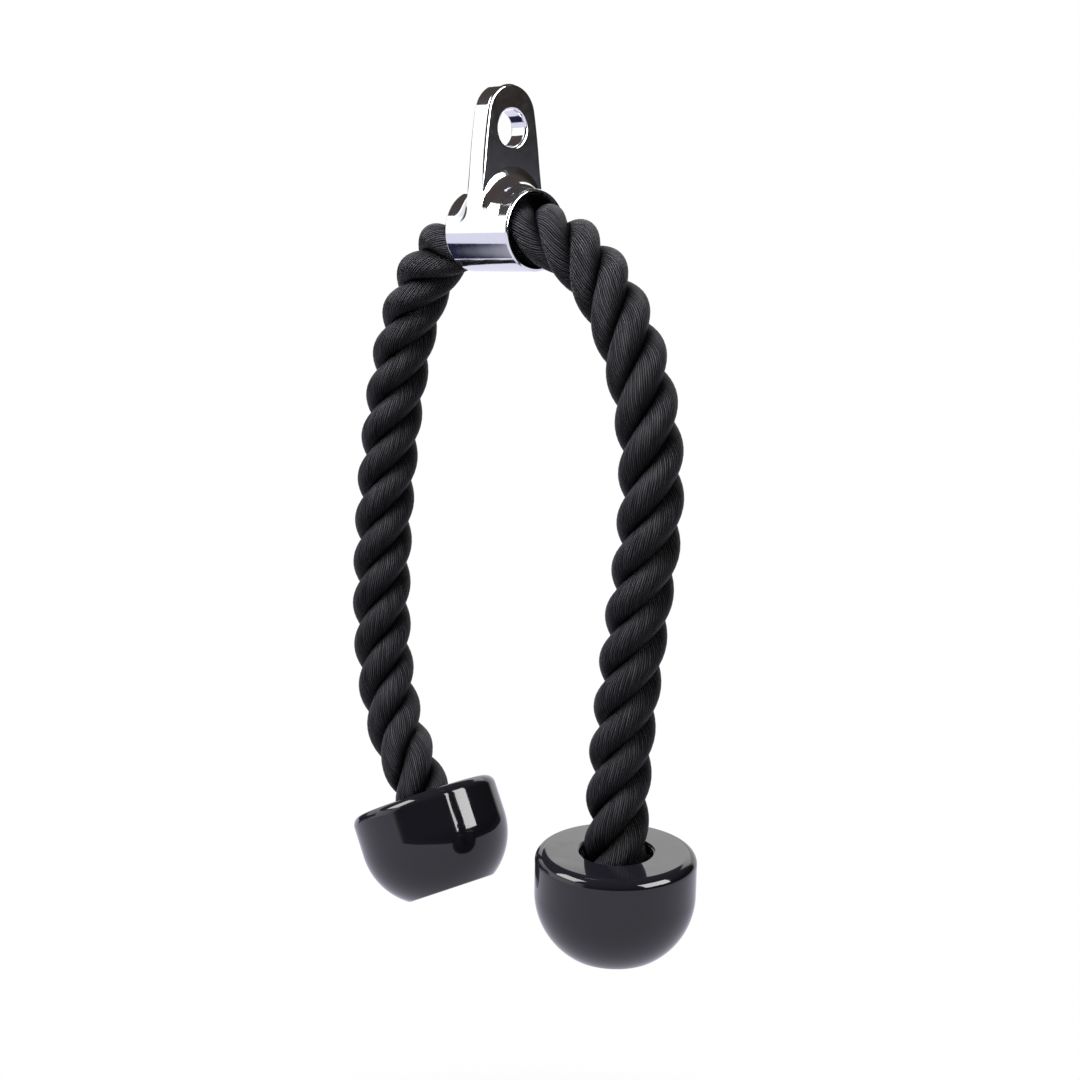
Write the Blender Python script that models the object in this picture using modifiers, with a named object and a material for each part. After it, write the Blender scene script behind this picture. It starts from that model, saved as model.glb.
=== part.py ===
"""Triceps rope attachment: a cast bracket with a hang eye, one thick rope through its barrel, and a capped
stop at each end of the rope.

Metres, +Z up. The origin is the centre of the hang eye, the barrel lies along X below it, and the two legs
of the rope hang in the XZ plane, with the caps tipped a little to the front. The rope's stretches are plain
round tubes along its route.
"""

import math

import bmesh
import bpy
import numpy as np
from mathutils import Matrix, Vector

# Clearances that the whole assembly shares
SEAT_GAP = 0.0003
CUT_OVERRUN = 0.004
WELD_DISTANCE = 0.000001

# Rope
ROPE_RADIUS = 0.014
ROPE_SEAM = 0.0003
ROPE_END_LEAD = 0.001
SHOULDER_END = 0.062
UPPER_END = 0.240
STRAIGHT_ABOVE_CAP = 0.012

# Bracket: the barrel that the rope runs through, sized round the rope
EYE_TO_BARREL = 0.0445
BARREL_LENGTH = 0.041
BORE_CLEARANCE = 0.0015
BARREL_WALL = 0.0025
BORE_RADIUS = ROPE_RADIUS + BORE_CLEARANCE
BARREL_RADIUS = BORE_RADIUS + BARREL_WALL
BELL_DEPTH = 0.0035
BELL_RISE = 0.0014
BARREL_LIP_ROUND = 0.0006

# Bracket: the flat tang that stands on the barrel and holds the hang eye
TANG_THICKNESS = 0.010
EYE_TO_TANG_TOP = 0.0194
TANG_TOP_RADIUS = 0.0141
TANG_SIDE_START = 0.005
TANG_EDGE_ROUND = 0.002
TANG_EDGE_FADE_START = 0.014
TANG_EDGE_FADE_LENGTH = 0.018
SADDLE_RADIUS = 0.010
EYE_RADIUS = 0.008
EYE_LIP_ROUND = 0.0012

# The rope's route on each side, as x outward from the barrel's middle and z from the barrel's axis. In the
# barrel the rope lies on the floor of the bore.
ROPE_IN_BORE = SEAT_GAP - BORE_CLEARANCE
RIGHT_ROUTE = [
    (0.0, ROPE_IN_BORE),
    (0.008, ROPE_IN_BORE),
    (0.016, ROPE_IN_BORE),
    (0.026, -0.0023),
    (0.036, -0.0050),
    (0.046, -0.0099),
    (0.0555, -0.0170),
    (0.0640, -0.0258),
    (0.0720, -0.0370),
    (0.0795, -0.0508),
    (0.0856, -0.0675),
    (0.0897, -0.0871),
    (0.0909, -0.1090),
    (0.0891, -0.1309),
    (0.0854, -0.1526),
    (0.0815, -0.1742),
    (0.0780, -0.1959),
    (0.0750, -0.2158),
    (0.0731, -0.2337),
]
LEFT_ROUTE = [
    (0.0, ROPE_IN_BORE),
    (0.008, ROPE_IN_BORE),
    (0.016, ROPE_IN_BORE),
    (0.026, -0.0024),
    (0.0356, -0.0057),
    (0.0450, -0.0114),
    (0.0535, -0.0196),
    (0.0604, -0.0293),
    (0.0668, -0.0417),
    (0.0723, -0.0567),
    (0.0771, -0.0741),
    (0.0811, -0.0937),
    (0.0847, -0.1154),
    (0.0873, -0.1372),
    (0.0890, -0.1592),
    (0.0897, -0.1812),
    (0.0885, -0.2031),
    (0.0847, -0.2227),
    (0.0785, -0.2396),
]

# Where each cap's top face sits on the rope, in the same outward x and z, how far the cap's top leans
# outward, and how far it tips to the front
RIGHT_CAP_TOP = (0.0712, -0.2686)
RIGHT_CAP_LEAN = math.radians(5.6)
RIGHT_CAP_TIP = math.radians(4.0)
LEFT_CAP_TOP = (0.0603, -0.2686)
LEFT_CAP_LEAN = math.radians(24.0)
LEFT_CAP_TIP = math.radians(3.0)

# The middle of the bend outside each barrel mouth, where a leg swings
RIGHT_SHOULDER_PIVOT = (0.0615, -0.0160)
LEFT_SHOULDER_PIVOT = (0.0600, -0.0195)

# Thrust washer and crimped ferrule that keep the rope's end in the cap
WASHER_THICKNESS = 0.002
FERRULE_WALL = 0.0032
CRIMP_DEPTH = 0.0008
CRIMP_WIDTH = 0.0045
CRIMP_BAND_WIDTH = 0.004

# Inside of the end cap, from the rope out: the hole that it enters by, the ferrule's chamber, the lid's seat
CAP_HOLE_CLEARANCE = 0.002
CHAMBER_CLEARANCE = 0.0005
LID_LEDGE = 0.0012
CAP_HOLE_RADIUS = ROPE_RADIUS + CAP_HOLE_CLEARANCE
CAP_CHAMBER_RADIUS = ROPE_RADIUS + SEAT_GAP + FERRULE_WALL + CHAMBER_CLEARANCE
LID_SEAT_RADIUS = CAP_CHAMBER_RADIUS + LID_LEDGE
CAP_HOLE_ROUND = 0.0013
CAP_SHOULDER_DEPTH = 0.011

# Outside of the end cap: a thick moulded cup with a straight wall, and a dome down to a flat foot
CAP_RADIUS = 0.0355
CAP_HEIGHT = 0.0465
CAP_WALL_DEPTH = 0.0193
CAP_FOOT_LAND = 0.0018
CAP_FOOT_RADIUS = LID_SEAT_RADIUS + CAP_FOOT_LAND
CAP_RIM_ROUND = 0.0048
CAP_FOOT_ROUND = 0.003

# Lid that closes the cap's chamber from below, flush with the foot
LID_FLANGE = 0.0025
LID_SPIGOT_LENGTH = 0.005
LID_SPIGOT_WALL = 0.0022

# Where the rope ends inside the cap, from the lid up
ROPE_END_CLEARANCE = 0.0012
ROPE_PAST_FERRULE = 0.0022
ROPE_END_IN_CAP = CAP_HEIGHT - LID_FLANGE - LID_SPIGOT_LENGTH - ROPE_END_CLEARANCE

# Facets
ROUND_STEPS = 48
INNER_STEPS = 36
ARC_STEPS = 6
LIP_STEPS = 3
BARREL_UNDER_STEPS = 28
TANG_TOP_STEPS = 18
TANG_SIDE_STEPS = 5
ROPE_SIDE_RESOLUTION = 4
ROPE_POINT_SPACING = 0.0115
ROUTE_SAMPLES = 24
SMOOTH_ANGLE = math.radians(35.0)

OBJECT_NAME = "triceps_rope_attachment"


def clear_scene():
    for obj in list(bpy.data.objects):
        bpy.data.objects.remove(obj, do_unlink=True)


def new_collection(name):
    collection = bpy.data.collections.new(name)
    bpy.context.scene.collection.children.link(collection)
    return collection


def material(name, colour, roughness, metallic=0.0):
    made = bpy.data.materials.new(name)
    made.use_nodes = True
    shader = made.node_tree.nodes["Principled BSDF"]
    shader.inputs["Base Color"].default_value = (*colour, 1.0)
    shader.inputs["Roughness"].default_value = roughness
    shader.inputs["Metallic"].default_value = metallic
    made.diffuse_color = (*colour, 1.0)
    return made


def arc(centre, radius, start, end, steps):
    """Points (r, z) on an arc, from one angle to the other in degrees, counted from outward towards up."""
    angles = np.radians(np.linspace(start, end, steps + 1))
    return [(centre[0] + radius * math.cos(a), centre[1] + radius * math.sin(a)) for a in angles]


def turned(name, profile, steps, collection, closed):
    """A shape of revolution about Z, from a profile down its outer side or, closed, a ring's section."""
    mesh = bpy.data.meshes.new(name)
    edges = [(i, i + 1) for i in range(len(profile) - 1)]
    if closed:
        edges.append((len(profile) - 1, 0))
    mesh.from_pydata([(r, 0.0, z) for r, z in profile], edges, [])
    obj = bpy.data.objects.new(name, mesh)
    collection.objects.link(obj)
    screw = obj.modifiers.new("Turn", "SCREW")
    screw.axis = "Z"
    screw.steps = steps
    screw.render_steps = steps
    screw.use_merge_vertices = True
    screw.merge_threshold = WELD_DISTANCE
    screw.use_smooth_shade = True
    return obj


def flared_cutter(name, radius, half_length, flare_depth, flare_rise, collection):
    """A turned cutter along X that cuts a round hole whose two mouths open out in an arc."""
    flare_radius = (flare_depth**2 + flare_rise**2) / (2 * flare_rise)
    sweep = math.degrees(math.asin(min(1.0, flare_depth / flare_radius)))
    centre = (radius + flare_radius, half_length - flare_depth)
    mouth = arc(centre, flare_radius, 180.0 - sweep, 180.0, LIP_STEPS)
    reach = half_length + CUT_OVERRUN
    upper = [(0.0, reach), (radius + flare_rise, reach)] + mouth
    lower = [(r, -z) for r, z in reversed(upper)]
    obj = turned(name, upper + lower, ROUND_STEPS, collection, closed=False)
    obj.rotation_euler = (0.0, math.pi / 2, 0.0)
    obj.hide_render = True
    obj.display_type = "WIRE"
    return obj


def tang_rise():
    """How far the centre of the tang's round top stands above the barrel's axis."""
    return EYE_TO_BARREL + EYE_TO_TANG_TOP - TANG_TOP_RADIUS


def tang_side_radius():
    """Radius of the tang's bowed sides, which leave the barrel upright and run on into the round top."""
    rise = tang_rise() - TANG_SIDE_START
    return (BARREL_RADIUS**2 + rise**2 - TANG_TOP_RADIUS**2) / (2 * (BARREL_RADIUS - TANG_TOP_RADIUS))


def bracket_section(x, rise, edge_inset):
    """One closed section of the bracket across X, about the barrel's axis.

    The barrel's underside carries on up two sides, upright and then bowed, into a round top whose centre
    stands rise above the axis. A rise of nothing gives the plain barrel. The inset draws in the top and the
    upper sides, and fades out below.
    """
    bow = tang_side_radius()
    bow_rise = max(0.0, rise - TANG_SIDE_START)
    bow_end = math.atan2(bow_rise, bow - BARREL_RADIUS)
    top_radius = bow - math.hypot(bow - BARREL_RADIUS, bow_rise) - edge_inset
    side = []
    for step in range(TANG_SIDE_STEPS):
        turn = bow_end * step / TANG_SIDE_STEPS
        height = rise - bow_rise + bow * math.sin(turn)
        fade = (height - TANG_EDGE_FADE_START) / TANG_EDGE_FADE_LENGTH
        reach = bow - edge_inset * min(1.0, max(0.0, fade))
        side.append((BARREL_RADIUS - bow + reach * math.cos(turn), rise - bow_rise + reach * math.sin(turn)))
    under = np.linspace(math.pi, 2 * math.pi, BARREL_UNDER_STEPS + 1)
    over = np.linspace(bow_end, math.pi - bow_end, TANG_TOP_STEPS + 1)
    points = [(x, BARREL_RADIUS * math.cos(a), BARREL_RADIUS * math.sin(a)) for a in under]
    points += [(x, y, z) for y, z in side]
    points += [(x, top_radius * math.cos(a), rise + top_radius * math.sin(a)) for a in over]
    points += [(x, -y, z) for y, z in reversed(side)]
    return points


def lip_section(x, radius):
    """A plain barrel section of another radius, with its points in the order of bracket_section."""
    share = radius / BARREL_RADIUS
    return [(x, y * share, z * share) for _, y, z in bracket_section(x, 0.0, 0.0)]


def bracket_sections():
    """The bracket's sections from its middle out to one end of the barrel."""
    half_tang = TANG_THICKNESS / 2
    half_barrel = BARREL_LENGTH / 2
    sections = []
    for a in np.linspace(0.0, math.pi / 2, LIP_STEPS + 2):
        x = half_tang - TANG_EDGE_ROUND * (1.0 - math.sin(a))
        sections.append(bracket_section(x, tang_rise(), TANG_EDGE_ROUND * (1.0 - math.cos(a))))
    for a in np.linspace(0.0, math.pi / 2, ARC_STEPS + 1):
        x = half_tang + SADDLE_RADIUS * (1.0 - math.cos(a))
        sections.append(bracket_section(x, SADDLE_RADIUS * (1.0 - math.sin(a)), 0.0))
    for a in np.linspace(0.0, math.pi / 2, LIP_STEPS + 1):
        x = half_barrel - BARREL_LIP_ROUND * (1.0 - math.sin(a))
        sections.append(lip_section(x, BARREL_RADIUS - BARREL_LIP_ROUND * (1.0 - math.cos(a))))
    return sections


def loft(name, sections, collection):
    """A closed solid through sections of equal point counts, capped at both ends."""
    shape = bmesh.new()
    rings = [[shape.verts.new(point) for point in section] for section in sections]
    count = len(rings[0])
    for near, far in zip(rings, rings[1:]):
        for i in range(count):
            j = (i + 1) % count
            shape.faces.new((near[i], near[j], far[j], far[i]))
    shape.faces.new(list(reversed(rings[0])))
    shape.faces.new(rings[-1])
    bmesh.ops.remove_doubles(shape, verts=shape.verts, dist=WELD_DISTANCE)
    mesh = bpy.data.meshes.new(name)
    shape.to_mesh(mesh)
    shape.free()
    obj = bpy.data.objects.new(name, mesh)
    collection.objects.link(obj)
    return obj


def cut(obj, cutter):
    boolean = obj.modifiers.new("Cut " + cutter.name, "BOOLEAN")
    boolean.operation = "DIFFERENCE"
    boolean.solver = "EXACT"
    boolean.object = cutter


def build_bracket(parts, cutters, finish):
    """One casting: tang, saddle fillets and barrel in one loft, with the bore and the eye cut through."""
    half = bracket_sections()
    mirrored = [[(-x, y, z) for x, y, z in section] for section in reversed(half)]
    bracket = loft("bracket", mirrored + half, parts)
    bracket.location = (0.0, 0.0, -EYE_TO_BARREL)
    bore = flared_cutter("barrel_bore", BORE_RADIUS, BARREL_LENGTH / 2, BELL_DEPTH, BELL_RISE, cutters)
    bore.location = bracket.location
    eye = flared_cutter("hang_eye", EYE_RADIUS, TANG_THICKNESS / 2, EYE_LIP_ROUND, EYE_LIP_ROUND, cutters)
    cut(bracket, bore)
    cut(bracket, eye)
    bracket.data.shade_smooth()
    bracket.data.set_sharp_from_angle(angle=SMOOTH_ANGLE)
    bracket.data.materials.append(finish)
    return bracket


def cap_frame(side):
    """The matrix of a cap: its origin in the middle of the cap's top face, and its Z up out of the cap."""
    x, z = side["cap_top"]
    place = Matrix.Translation((side["sign"] * x, 0.0, z - EYE_TO_BARREL))
    tip = Matrix.Rotation(side["cap_tip"], 4, "X")
    return place @ tip @ Matrix.Rotation(side["sign"] * side["cap_lean"], 4, "Y")


def rope_line(side):
    """The rope's centreline on one side as many close points, and the length along it at each."""
    points = [Vector((side["sign"] * x, 0.0, z - EYE_TO_BARREL)) for x, z in side["route"]]
    frame = cap_frame(side)
    for height in (STRAIGHT_ABOVE_CAP, 0.0, -ROPE_END_IN_CAP / 2, -ROPE_END_IN_CAP):
        points.append(frame @ Vector((0.0, 0.0, height)))
    knots = np.array([tuple(point) for point in points])
    gaps = np.linalg.norm(np.diff(knots, axis=0), axis=1)[:, None]
    slopes = np.diff(knots, axis=0) / gaps
    inner = (slopes[:-1] * gaps[1:] + slopes[1:] * gaps[:-1]) / (gaps[:-1] + gaps[1:])
    tangents = np.vstack([slopes[:1], inner, slopes[-1:]])
    t = np.linspace(0.0, 1.0, ROUTE_SAMPLES, endpoint=False)[:, None]
    line = []
    for i, gap in enumerate(gaps):
        line.append(
            (1 + 2 * t) * (1 - t) ** 2 * knots[i]
            + t * (1 - t) ** 2 * gap * tangents[i]
            + t**2 * (3 - 2 * t) * knots[i + 1]
            + t**2 * (t - 1) * gap * tangents[i + 1]
        )
    line = np.vstack(line + [knots[-1:]])
    length = np.concatenate([[0.0], np.cumsum(np.linalg.norm(np.diff(line, axis=0), axis=1))])
    return line, length


def rope_point(line, length, at):
    return Vector([float(np.interp(at, length, line[:, axis])) for axis in range(3)])


def rope_direction(line, length, at):
    near, far = max(0.0, at - ROPE_END_LEAD), min(length[-1], at + ROPE_END_LEAD)
    return (rope_point(line, length, far) - rope_point(line, length, near)).normalized()


def rope_stretch(name, line, length, start, end, parent, parts, finish):
    """A plain tube along the rope's centreline between two lengths along it.

    Both ends run straight for a short lead, so that stretches that meet do so on parallel faces.
    """
    leads = []
    for at, inward in ((start, 1.0), (end, -1.0)):
        back = 0.0 if at == length[-1] else ROPE_SEAM / 2
        face = rope_point(line, length, at)
        step = rope_direction(line, length, at) * inward
        leads.append([face + step * back, face + step * (back + ROPE_END_LEAD)])
    count = max(2, round((end - start) / ROPE_POINT_SPACING))
    inner = [rope_point(line, length, at) for at in np.linspace(start, end, count + 1)[1:-1]]
    points = leads[0] + inner + leads[1][::-1]
    curve = bpy.data.curves.new(name, "CURVE")
    curve.dimensions = "3D"
    curve.bevel_depth = ROPE_RADIUS
    curve.bevel_resolution = ROPE_SIDE_RESOLUTION
    curve.use_fill_caps = True
    spline = curve.splines.new("POLY")
    spline.points.add(len(points) - 1)
    for spline_point, place in zip(spline.points, points):
        spline_point.co = (*(place - parent.matrix_world.translation), 1.0)
    curve.materials.append(finish)
    obj = bpy.data.objects.new(name, curve)
    obj.parent = parent
    parts.objects.link(obj)
    return obj


def axis_empty(name, place, parent, parts):
    """An unturned empty on a joint's axis, which carries the pieces that move about it."""
    empty = bpy.data.objects.new(name, None)
    parts.objects.link(empty)
    empty.parent = parent
    empty.location = place - parent.matrix_world.translation if parent else place
    bpy.context.view_layer.update()
    return empty


def seat(obj, frame, depth, parent, finish):
    """Sets a turned piece on a cap's axis, with its own Z zero at a depth below the cap's top face."""
    world = frame @ Matrix.Translation((0.0, 0.0, -depth))
    obj.parent = parent
    obj.location = world.translation - parent.matrix_world.translation
    obj.rotation_euler = world.to_euler()
    obj.data.materials.append(finish)


def cap_dome_radius():
    """Radius of the arc that leaves the cap's wall as its tangent and meets the foot."""
    inward = CAP_RADIUS - CAP_FOOT_RADIUS
    drop = CAP_HEIGHT - CAP_WALL_DEPTH
    return (inward**2 + drop**2) / (2 * inward)


def build_cap(name, parts):
    """The cap's cup: rounded rim, straight wall, dome, flat foot, the lid's seat and the chamber inside."""
    hole_centre = (CAP_HOLE_RADIUS + CAP_HOLE_ROUND, -CAP_HOLE_ROUND)
    hole = arc(hole_centre, CAP_HOLE_ROUND, 180.0, 90.0, LIP_STEPS)
    rim = arc((CAP_RADIUS - CAP_RIM_ROUND, -CAP_RIM_ROUND), CAP_RIM_ROUND, 90.0, 0.0, ARC_STEPS)
    dome_radius = cap_dome_radius()
    dome_axis = CAP_RADIUS - dome_radius
    foot_reach = dome_radius - CAP_FOOT_ROUND
    foot_drop = CAP_HEIGHT - CAP_FOOT_ROUND - CAP_WALL_DEPTH
    meets_foot = math.asin(foot_drop / foot_reach)
    foot_centre = (dome_axis + foot_reach * math.cos(meets_foot), CAP_FOOT_ROUND - CAP_HEIGHT)
    dome_turn = -math.degrees(meets_foot)
    dome = arc((dome_axis, -CAP_WALL_DEPTH), dome_radius, 0.0, dome_turn, ARC_STEPS + LIP_STEPS)
    foot = arc(foot_centre, CAP_FOOT_ROUND, dome_turn, -90.0, LIP_STEPS)[1:]
    ledge_depth = CAP_HEIGHT - LID_FLANGE - SEAT_GAP
    inside = [
        (LID_SEAT_RADIUS, -CAP_HEIGHT),
        (LID_SEAT_RADIUS, -ledge_depth),
        (CAP_CHAMBER_RADIUS, -ledge_depth),
        (CAP_CHAMBER_RADIUS, -CAP_SHOULDER_DEPTH),
        (CAP_HOLE_RADIUS, -CAP_SHOULDER_DEPTH),
    ]
    return turned(name, hole + rim + dome + foot + inside, ROUND_STEPS, parts, closed=True)


def build_lid(name, parts):
    """The lid: a round flange flush with the cap's foot, and a hollow spigot up inside the chamber."""
    flange_top = CAP_HEIGHT - LID_FLANGE
    spigot_top = flange_top - LID_SPIGOT_LENGTH
    flange_radius = LID_SEAT_RADIUS - SEAT_GAP
    spigot_radius = CAP_CHAMBER_RADIUS - SEAT_GAP
    recess_radius = spigot_radius - LID_SPIGOT_WALL
    profile = [
        (0.0, -flange_top),
        (recess_radius, -flange_top),
        (recess_radius, -spigot_top),
        (spigot_radius, -spigot_top),
        (spigot_radius, -flange_top),
        (flange_radius, -flange_top),
        (flange_radius, -CAP_HEIGHT),
        (0.0, -CAP_HEIGHT),
    ]
    return turned(name, profile, ROUND_STEPS, parts, closed=False)


def build_washer(name, parts):
    """A flat ring that loads the cap's inner shoulder, with its top face at Z zero."""
    inner = ROPE_RADIUS + 2 * SEAT_GAP
    outer = CAP_CHAMBER_RADIUS - 2 * SEAT_GAP
    profile = [(inner, 0.0), (outer, 0.0), (outer, -WASHER_THICKNESS), (inner, -WASHER_THICKNESS)]
    return turned(name, profile, INNER_STEPS, parts, closed=True)


def build_ferrule(name, length, parts):
    """A sleeve crimped round the rope in two grooves, with its top face at Z zero."""
    inner = ROPE_RADIUS + SEAT_GAP
    outer = inner + FERRULE_WALL
    waist = outer - CRIMP_DEPTH
    profile = [(inner, 0.0), (outer, 0.0)]
    for side in (1.0, -1.0):
        middle = -length / 2 + side * (CRIMP_BAND_WIDTH + CRIMP_WIDTH) / 2
        profile.append((outer, middle + CRIMP_WIDTH / 2))
        profile.append((waist, middle + CRIMP_WIDTH / 2 - CRIMP_DEPTH))
        profile.append((waist, middle - CRIMP_WIDTH / 2 + CRIMP_DEPTH))
        profile.append((outer, middle - CRIMP_WIDTH / 2))
    profile += [(outer, -length), (inner, -length)]
    return turned(name, profile, INNER_STEPS, parts, closed=True)


def build_side(side, root, parts, finishes):
    """One leg of the rope with its end stop, on empties that stand on the leg's joint axes."""
    name = side["name"]
    frame = cap_frame(side)
    line, length = rope_line(side)
    pivot_x, pivot_z = side["shoulder_pivot"]
    shoulder = Vector((side["sign"] * pivot_x, 0.0, pivot_z - EYE_TO_BARREL))
    bend = rope_point(line, length, UPPER_END)
    leg = axis_empty(f"leg_{name}_axis", shoulder, root, parts)
    grip = axis_empty(f"grip_{name}_axis", bend, leg, parts)
    spin = axis_empty(f"cap_{name}_axis", frame.translation, grip, parts)

    stretches = (
        ("rope_shoulder", 0.0, SHOULDER_END, root),
        ("rope_upper", SHOULDER_END, UPPER_END, leg),
        ("rope_lower", UPPER_END, length[-1], grip),
    )
    for stretch, start, end, parent in stretches:
        rope_stretch(f"{stretch}_{name}", line, length, start, end, parent, parts, finishes["rope"])

    washer_depth = CAP_SHOULDER_DEPTH + SEAT_GAP
    ferrule_depth = washer_depth + WASHER_THICKNESS + SEAT_GAP
    ferrule_length = ROPE_END_IN_CAP - ROPE_PAST_FERRULE - ferrule_depth
    ferrule = build_ferrule(f"crimp_ferrule_{name}", ferrule_length, parts)
    seat(build_cap(f"end_cap_{name}", parts), frame, 0.0, spin, finishes["cap"])
    seat(build_lid(f"cap_lid_{name}", parts), frame, 0.0, spin, finishes["lid"])
    seat(build_washer(f"thrust_washer_{name}", parts), frame, washer_depth, grip, finishes["washer"])
    seat(ferrule, frame, ferrule_depth, grip, finishes["ferrule"])


def main():
    clear_scene()
    parts = new_collection(OBJECT_NAME)
    cutters = new_collection(OBJECT_NAME + "_cutters")
    cutters.hide_render = True
    finishes = {
        "bracket": material("chromed_casting", (0.55, 0.56, 0.58), 0.08, metallic=1.0),
        "rope": material("black_nylon_rope", (0.012, 0.012, 0.013), 0.75),
        "cap": material("gloss_black_moulding", (0.018, 0.017, 0.020), 0.12),
        "lid": material("gloss_black_lid", (0.018, 0.017, 0.020), 0.18),
        "washer": material("zinc_plated_washer", (0.55, 0.56, 0.55), 0.35, metallic=1.0),
        "ferrule": material("crimped_steel_ferrule", (0.50, 0.50, 0.49), 0.40, metallic=1.0),
    }
    build_bracket(parts, cutters, finishes["bracket"])

    rope_axis = Vector((0.0, 0.0, RIGHT_ROUTE[0][1] - EYE_TO_BARREL))
    root_left = axis_empty("rope_root_left_axis", rope_axis, None, parts)
    root_right = axis_empty("rope_root_right_axis", rope_axis, root_left, parts)
    left = {
        "name": "left",
        "sign": -1.0,
        "route": LEFT_ROUTE,
        "cap_top": LEFT_CAP_TOP,
        "cap_lean": LEFT_CAP_LEAN,
        "cap_tip": LEFT_CAP_TIP,
        "shoulder_pivot": LEFT_SHOULDER_PIVOT,
    }
    right = {
        "name": "right",
        "sign": 1.0,
        "route": RIGHT_ROUTE,
        "cap_top": RIGHT_CAP_TOP,
        "cap_lean": RIGHT_CAP_LEAN,
        "cap_tip": RIGHT_CAP_TIP,
        "shoulder_pivot": RIGHT_SHOULDER_PIVOT,
    }
    build_side(left, root_left, parts, finishes)
    build_side(right, root_right, parts, finishes)


main()
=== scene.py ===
"""Triceps rope attachment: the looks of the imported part.

Three laid strands take the place of the rope's plain tubes. The cast bracket, the moulded caps and their lids
are made again, finely enough for a polished finish. Everything is in metres, in the part's own frame: the
origin is the centre of the hang eye and +Z is up.
"""

import math

import bmesh
import bpy
import numpy as np
from mathutils import Matrix, Vector


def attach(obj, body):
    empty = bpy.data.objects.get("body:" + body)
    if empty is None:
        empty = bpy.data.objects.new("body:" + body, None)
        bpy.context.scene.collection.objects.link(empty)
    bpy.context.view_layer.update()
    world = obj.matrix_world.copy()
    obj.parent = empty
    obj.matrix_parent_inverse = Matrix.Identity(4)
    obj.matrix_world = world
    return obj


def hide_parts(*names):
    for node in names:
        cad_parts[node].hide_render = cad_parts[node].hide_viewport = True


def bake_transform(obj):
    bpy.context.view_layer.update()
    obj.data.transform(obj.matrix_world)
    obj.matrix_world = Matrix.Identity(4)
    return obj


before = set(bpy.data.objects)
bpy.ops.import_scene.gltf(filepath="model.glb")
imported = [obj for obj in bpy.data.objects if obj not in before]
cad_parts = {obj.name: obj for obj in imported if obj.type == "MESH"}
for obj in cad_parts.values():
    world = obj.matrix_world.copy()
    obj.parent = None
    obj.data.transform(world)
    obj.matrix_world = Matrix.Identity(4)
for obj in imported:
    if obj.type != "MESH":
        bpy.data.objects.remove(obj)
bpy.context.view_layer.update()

MM = 0.001
MERGE_DISTANCE = 0.001 * MM

# Camera, at the photograph's angle

CAMERA_PLACE = (0.7031, -0.6394, -0.0574)
CAMERA_TILT = math.radians(82.46)
CAMERA_TURN = math.radians(46.78)
CAMERA_LENS = 70.52
CAMERA_SENSOR = 36.0


def make_camera():
    """A camera that sees the part as the photograph does."""
    data = bpy.data.cameras.new("camera")
    data.sensor_width = CAMERA_SENSOR
    data.lens = CAMERA_LENS
    camera = bpy.data.objects.new("camera", data)
    bpy.context.scene.collection.objects.link(camera)
    camera.location = CAMERA_PLACE
    camera.rotation_euler = (CAMERA_TILT, 0.0, CAMERA_TURN)
    bpy.context.scene.camera = camera


make_camera()


# Shared helpers


def hex_colour(text):
    """The linear colour of an sRGB hex value such as #1c1c1e."""
    parts = [int(text[i : i + 2], 16) / 255.0 for i in (1, 3, 5)]
    linear = [p / 12.92 if p <= 0.04045 else ((p + 0.055) / 1.055) ** 2.4 for p in parts]
    return (*linear, 1.0)


def add_node(tree, kind, inputs=None, **settings):
    """Adds a node with its settings.

    An input takes a value, an output, or another node, which stands for its first output.
    """
    made = tree.nodes.new(kind)
    for name, value in settings.items():
        setattr(made, name, value)
    for name, value in (inputs or {}).items():
        source = value.outputs[0] if isinstance(value, bpy.types.Node) else value
        if isinstance(source, bpy.types.NodeSocket):
            tree.links.new(source, made.inputs[name])
        else:
            made.inputs[name].default_value = source
    return made


def new_material(name):
    """A material with an empty node tree."""
    made = bpy.data.materials.new(name)
    made.use_nodes = True
    made.node_tree.nodes.clear()
    return made


def hard_material(name, colour, haze, span, roughness, waves, bump, **shading):
    """A hard skin: its roughness follows a fine haze, and waves bend its reflections.

    Haze and waves are each the size, detail and roughness of a noise. Roughness goes between its two values
    as the haze goes over its span, and bump is the strength and the depth of the waves.
    """
    made = new_material(name)
    tree = made.node_tree
    place = add_node(tree, "ShaderNodeTexCoord")
    noises = []
    for size, detail, breakup in (haze, waves):
        grain = {"Scale": 1.0 / size, "Detail": detail, "Roughness": breakup}
        noises.append(add_node(tree, "ShaderNodeTexNoise", {"Vector": place.outputs["Object"], **grain}))
    spread = {"From Min": span[0], "From Max": span[1], "To Min": roughness[0], "To Max": roughness[1]}
    rough = add_node(tree, "ShaderNodeMapRange", {"Value": noises[0], **spread})
    height = {"Height": noises[1], "Strength": bump[0], "Distance": bump[1]}
    normal = add_node(tree, "ShaderNodeBump", height)
    shader = add_node(
        tree,
        "ShaderNodeBsdfPrincipled",
        {"Base Color": hex_colour(colour), "Roughness": rough, "Normal": normal, **shading},
    )
    add_node(tree, "ShaderNodeOutputMaterial", {"Surface": shader})
    return made


def settle_order(shape):
    """Orders edges and faces by their vertices, because operators leave them in an order that varies."""
    shape.verts.index_update()
    for elements in (shape.edges, shape.faces):
        ordered = sorted(elements, key=lambda element: sorted(vert.index for vert in element.verts))
        for place, element in enumerate(ordered):
            element.index = place
        elements.sort()


def finish_piece(name, shape, material, transform=None):
    """Turns a bmesh into a smooth-shaded piece at the origin, with its place in its mesh."""
    bmesh.ops.recalc_face_normals(shape, faces=shape.faces)
    if transform is not None:
        bmesh.ops.transform(shape, matrix=transform, verts=shape.verts)
    settle_order(shape)
    mesh = bpy.data.meshes.new(name)
    shape.to_mesh(mesh)
    shape.free()
    mesh.shade_smooth()
    mesh.materials.append(material)
    piece = bpy.data.objects.new(name, mesh)
    bpy.context.scene.collection.objects.link(piece)
    return piece


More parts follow.
